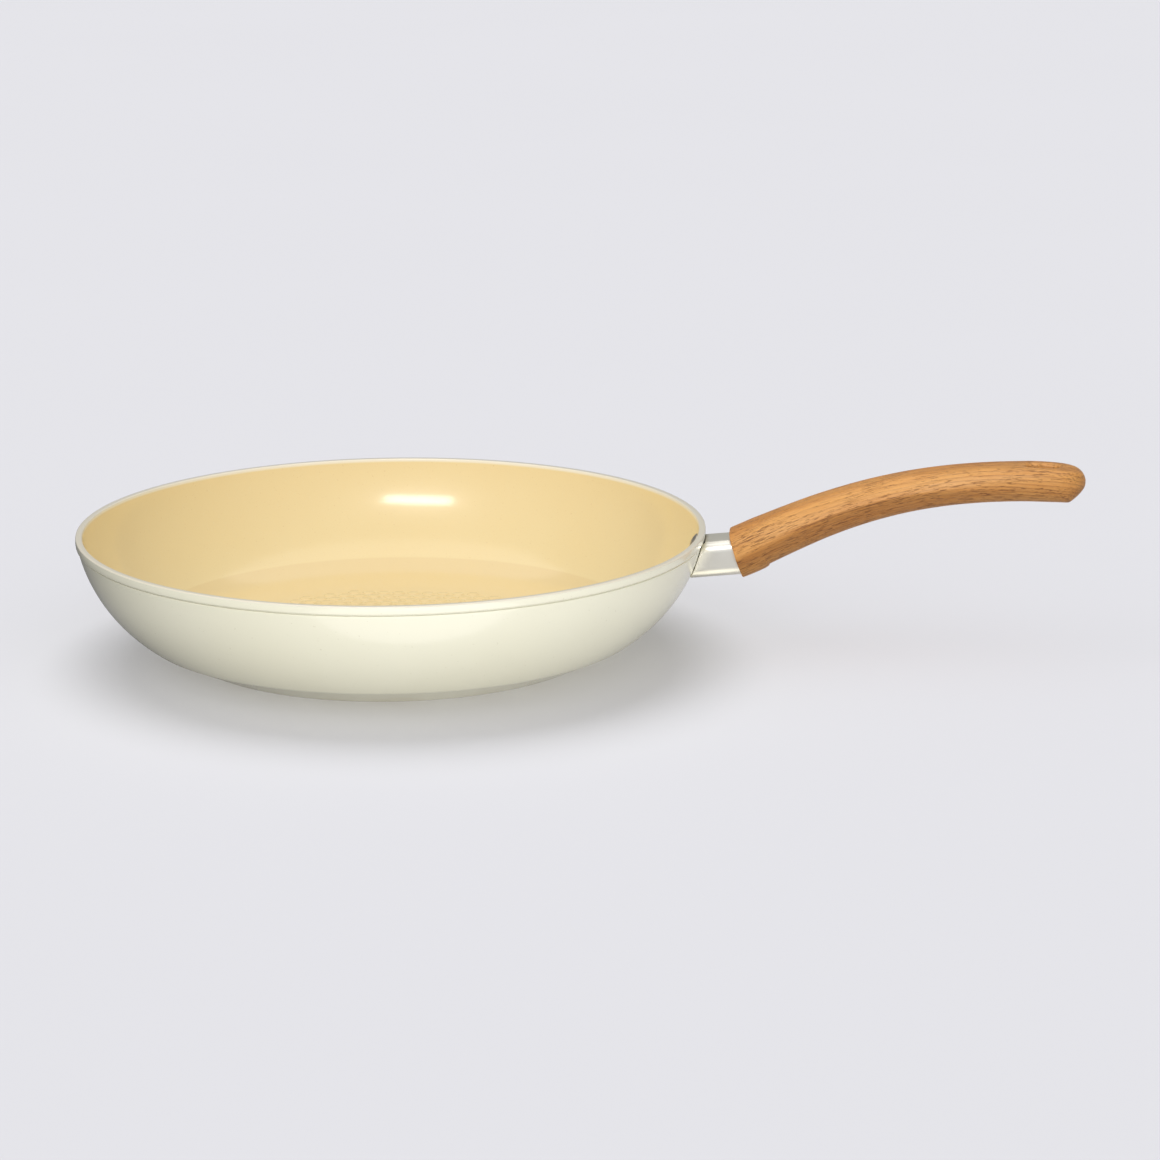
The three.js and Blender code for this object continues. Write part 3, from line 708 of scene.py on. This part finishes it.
# Rings of the grip: how far along, height above and below the axis, half the width, half the
# flat strip on top, where the side ridge runs (1 is the top, -1 the bottom) and how crisp it is.
HOLE_ENDS = 8.4
HOLE_SIDES = 2.6
rings = [
    (0.0, 9.9, 11.1, 13.8, 5.0, -0.12, 0.5),
    (0.3, 10.0, 11.2, 13.9, 5.0, -0.12, 0.5),
    (2.9, 10.0, 11.2, 13.9, 5.0, -0.1, 0.5),
    (11.9, 10.0, 11.1, 13.9, 5.0, -0.04, 0.6),
    (12.0, 10.0, 10.2, 13.9, 5.0, -0.04, 0.6),
    (12.6, 9.95, 10.0, 13.9, 4.9, -0.03, 0.6),
    (33, 9.4, 9.4, 13.4, 4.4, 0.05, 0.95),
    (47, 8.9, 9.0, 13.0, 4.4, 0.1, 1.0),
    (64, 8.5, 8.6, 12.8, 4.4, 0.12, 1.0),
    (81, 8.2, 8.3, 12.7, 4.4, 0.08, 0.9),
    (98, 7.9, 8.1, 12.8, 4.6, 0.0, 0.5),
    (115, 7.7, 7.9, 13.2, 5.0, -0.15, 0.3),
    (hole_at - HOLE_ENDS, 7.65, 7.8, 13.5, 5.4, -0.25, 0.15),
    (hole_at - HOLE_SIDES, 7.6, 7.8, 13.6, 5.6, -0.28, 0.1),
    (hole_at + HOLE_SIDES, 7.5, 7.8, 13.5, 5.6, -0.3, 0.1),
    (hole_at + HOLE_ENDS, 7.4, 7.8, 12.9, 5.2, -0.3, 0.1),
    (grip_length - 6.8, 7.0, 7.9, 11.6, 4.8, -0.3, 0.1),
    (grip_length - 3.4, 6.2, 4.9, 9.4, 4.0, -0.2, 0.1),
    (grip_length - 0.9, 4.0, 1.9, 5.6, 2.4, 0.0, 0.1),
]

# The grain, in metres. Growth rings follow the bend of the grip, with fibre and pores. A dark line
# along the ridge is painted shade, where the lit top facet turns to the shaded lower one.
GROWTH_RING = 0.0021
RIDGE_HEIGHT = 0.0006
wood = Finish("oiled_wood", IOR=1.45, Coat_Weight=0.12, Coat_Roughness=0.3)
x, y, z = wood.parts(wood.place)
along = x - GRIP_FRONT * MM
through = [grip_axis[int((len(grip_axis) - 1) * share)] for share in (0.02, 0.35, 0.7, 0.98)]
powers = Matrix([[((point.x - GRIP_FRONT) * MM) ** n for n in range(4)] for point in through])
bend = powers.inverted() @ Vector([point.z * MM for point in through])
height = z - (((bend[3] * along + bend[2]) * along + bend[1]) * along + bend[0])
straight = wood.vector(along, y, height)
drift = wood.noise(wood.stretched(straight, (9, 48, 48)), 1, 2)
waver = wood.noise(wood.stretched(straight, (40, 190, 190)), 1, 3)
layers = (height + 0.3 * y + 0.012 * drift + 0.0022 * waver) / GROWTH_RING
ring = layers.maths("FRACT", layers)
late = ring * ring * ring
tipwards = along.step(0.06, 0.14)
fibre = wood.noise(wood.stretched(straight, (90, 2400, 2400)), 1, 3, 0.6)
broad = wood.noise(wood.stretched(straight, (14, 120, 120)), 1, 2)
patchy = wood.noise(wood.stretched(straight, (30, 210, 210)), 1, 2)
# Pores are grain, but they are set denser below the axis, which also paints shade on the underside.
below = (-1 * height).step(-0.001, 0.003)
busy = (patchy + 0.12 * below + 0.1 * tipwards).step(0.4, 0.62)
dash = wood.noise(wood.stretched(straight, (230, 2500, 2500)), 1, 2, 0.5)
hair = wood.noise(wood.stretched(straight, (110, 4200, 4200)), 1, 2, 0.5)
pore = (dash - 0.09 * (1 - busy)).step(0.555, 0.63)
lines = (hair - 0.06 * (1 - busy)).step(0.52, 0.62)
wood_tone = wood.mix(broad.step(0.3, 0.7), colour(205, 136, 60), colour(228, 164, 84))
wood_tone = wood.mix((0.3 + 0.3 * tipwards) * late, wood_tone, colour(138, 80, 34))
wood_tone = wood.mix(0.3 * fibre.step(0.35, 0.7), wood_tone, colour(228, 174, 106))
wood_tone = wood.mix(0.3 * lines, wood_tone, colour(140, 82, 34))
# Painted shade: a broken dark line along the side ridge, on the front of the grip.
off_ridge = height - RIDGE_HEIGHT
off_ridge = off_ridge.maths("ABSOLUTE", off_ridge)
ridge_shade = waver.step(0.25, 0.6) * (1 - off_ridge.step(0.0001, 0.0006))
ridge_shade = ridge_shade * along.step(0.02, 0.03) * (1 - along.step(0.06, 0.085))
wood_tone = wood.mix(0.45 * ridge_shade, wood_tone, colour(120, 64, 24))
# Painted shade: the underside, below the axis, is painted darker.
wood_tone = wood.mix(0.22 * (-1 * height).step(-0.0005, 0.002), wood_tone, colour(150, 92, 40))
wood_tone = wood.mix(0.6 * pore, wood_tone, colour(96, 48, 16))
wood.wear(Base_Color=wood_tone, Roughness=0.46 + 0.16 * pore - 0.08 * late)
wood.bump(0.6 * fibre + 0.25 * late - 1.2 * pore - 0.4 * lines, 0.00012, 0.6)


SWELL = 1.01                       # makes up for what the smoothing takes off a ring


def shape_ring(verts, place, above, below, wide, strip, ridge, crisp=0.0):
    """Sets ten vertices to a section: strips at the top and bottom, shoulders and a side ridge."""
    half = [
        (strip, above * SWELL),
        (max(wide * (0.86 - 0.2 * crisp), strip + 1), above * 0.9),
        (wide * SWELL, ridge * above),
        (max(wide * (0.82 - 0.1 * crisp), strip + 0.8), -below * 0.9),
        (strip, -below * SWELL),
    ]
    for vert, (side, high) in zip(verts, half + [(-side, high) for side, high in reversed(half)]):
        vert.co = place @ Vector((0, side, high))


def round_trip(verts):
    """Edges round a loop of vertices."""
    return [bm.edges.get(pair) for pair in zip(verts, verts[1:] + verts[:1])]


def next_loop(verts):
    """Extrudes a loop, and gives the new vertices in the same order."""
    made = bmesh.ops.extrude_edge_only(bm, edges=round_trip(verts))["geom"]
    new = {item for item in made if isinstance(item, bmesh.types.BMVert)}
    return [
        next(edge.other_vert(vert) for edge in vert.link_edges if edge.other_vert(vert) in new)
        for vert in verts
    ]


# Places in a ring, counted from the top: its two ridges, and the two ends of each flat strip.
RIDGES = (2, 7)
TOP_STRIP = (0, 9)
BOTTOM_STRIP = (4, 5)
FRONT_CREASE = 0.8
TIP_CREASE = 0.35
NOSE_RING = (1.8, 0.2, 2.6, 1.2, 0.4)
bm = bmesh.new()
crease = bm.edges.layers.float.new("crease_edge")
first = bmesh.ops.create_circle(bm, cap_ends=False, radius=1, segments=10)["verts"]
loop = sorted(first, key=lambda vert: math.atan2(vert.co.x, vert.co.y) % (2 * math.pi))
loops = []
for distance, above, below, wide, strip, ridge, crisp in rings:
    loop = next_loop(loop) if loops else loop
    shape_ring(loop, on_axis(distance), above, below, wide, strip, ridge, crisp)
    loops.append(loop)
for (*_, crisp), near, far in zip(rings, loops, loops[1:]):
    for side in RIDGES:
        bm.edges.get((near[side], far[side]))[crease] = crisp
for edge in round_trip(loops[0]):
    edge[crease] = FRONT_CREASE
for edge in round_trip(loops[-3])[RIDGES[0]:RIDGES[1]]:
    edge[crease] = TIP_CREASE
nose = next_loop(loops[-1])
shape_ring(nose, on_axis(grip_length - 0.1), *NOSE_RING)
bmesh.ops.contextual_create(bm, geom=round_trip(nose))

# The front: a flat face with a socket for the sleeve. Each row says where the loop stands, how
# high and how deep it is and half its width.
SOCKET_STRIP = 4.4
SOCKET_RIDGE = -0.1
front = on_axis(0)
edge = front @ Matrix.Translation((0.25, 0, 0))
seat = Matrix.Translation(grip_axis[0]) @ Matrix.Rotation(-SLEEVE_RISE, 4, "Y")
seat = seat @ Matrix.Translation((SLEEVE_SEAT + GAP, 0, -GRIP_LIFT))
mouth = loops[0]
for place, above, below, wide in (
    (front, 9.5, 10.7, 13.4),
    (front, 7.75, 9.5, 11.65),
    (edge, 7.45, 9.25, 11.35),
    (seat, 8.35, 8.35, 11.35),
):
    mouth = next_loop(mouth)
    shape_ring(mouth, place, above, below, wide, SOCKET_STRIP, SOCKET_RIDGE)
bmesh.ops.contextual_create(bm, geom=round_trip(mouth))


def sunk(faces, place, spots, crisp):
    """Insets a patch of the strip, sets its corners and opens it, and gives the open edges."""
    bmesh.ops.inset_region(bm, faces=faces, thickness=1, use_even_offset=True)
    verts = {vert for face in faces for vert in face.verts}
    for vert in verts:
        local = place.inverted() @ vert.co
        vert.co = place @ spots(local)
    sides = [edge for face in faces for edge in face.edges]
    rim = [edge for edge in sides if sides.count(edge) == 1]
    for edge in rim:
        edge[crease] = crisp
    bmesh.ops.delete(bm, geom=faces, context="FACES_ONLY")
    return rim


# The hanging hole goes right through, with a dished lip above and below.
HOLE_END = (6.65, 2.3)             # corners of its rim, along the grip and across it
HOLE_FLANK = (2.2, 3.85)
HOLE_LIP = 6.4                     # height of the rim in the dish, from the axis
SMOOTH = 0.0
hole_place = square_to_axis(hole_at)
hole_start = next(i for i, sizes in enumerate(rings) if sizes[0] == hole_at - HOLE_ENDS)


def hole_spot(local):
    along, across = HOLE_END if abs(local.x) > HOLE_SIDES + 1 else HOLE_FLANK
    corner = zip((along, across, HOLE_LIP), local)
    return Vector([math.copysign(size, side) for size, side in corner])


open_rims = []
for strip_side in (TOP_STRIP, BOTTOM_STRIP):
    patch = []
    for index in range(hole_start, hole_start + 3):
        corners = {loops[index + step][side] for step in (0, 1) for side in strip_side}
        patch += [face for face in bm.faces if set(face.verts) == corners]
    open_rims += sunk(patch, hole_place, hole_spot, SMOOTH)
bmesh.ops.bridge_loops(bm, edges=open_rims)

# The bore for the screw's head goes up through the pad.
BORE_CORNER = 4.18
BORE_MOUTH = -11.1
BORE_TOP = -3.9
BORE_CREASE = 0.7
bore_place = square_to_axis(SCREW_FROM_FRONT)
corners = {loops[index][side] for index in (2, 3) for side in BOTTOM_STRIP}
patch = [face for face in bm.faces if set(face.verts) == corners]


def bore_spot(local):
    along, across = (math.copysign(BORE_CORNER, side) for side in local[:2])
    return Vector((along, across, BORE_MOUTH))


bore_rim = sunk(patch, bore_place, bore_spot, BORE_CREASE)
top = bmesh.ops.extrude_edge_only(bm, edges=bore_rim)["geom"]
for vert in (item for item in top if isinstance(item, bmesh.types.BMVert)):
    local = bore_place.inverted() @ vert.co
    vert.co = bore_place @ Vector((local.x, local.y, BORE_TOP))
bmesh.ops.contextual_create(bm, geom=[item for item in top if isinstance(item, bmesh.types.BMEdge)])
bmesh.ops.recalc_face_normals(bm, faces=bm.faces)
grip = show("carved_grip", bm, wood, "grip_wood", "grip")
grip_alone.objects.link(grip)
smooth = grip.modifiers.new("carving", "SUBSURF")
smooth.levels = smooth.render_levels = 3


# Screw, spring washer and nut. A steel machine screw goes up through the pad into the nut.
# The nut is welded to the bracket. All three are zinc plated.
plated = Finish("zinc_plate", Metallic=1.0)
grain = plated.noise(plated.place, 700, 3)
plated.wear(
    Base_Color=plated.mix(grain, colour(150, 151, 152), colour(196, 197, 198)),
    Roughness=0.3 + 0.15 * grain,
)
plated.bump(grain, 0.00003, 0.4)
for name in ("grip_screw", "spring_washer", "weld_nut"):
    finish_node(name, plated)
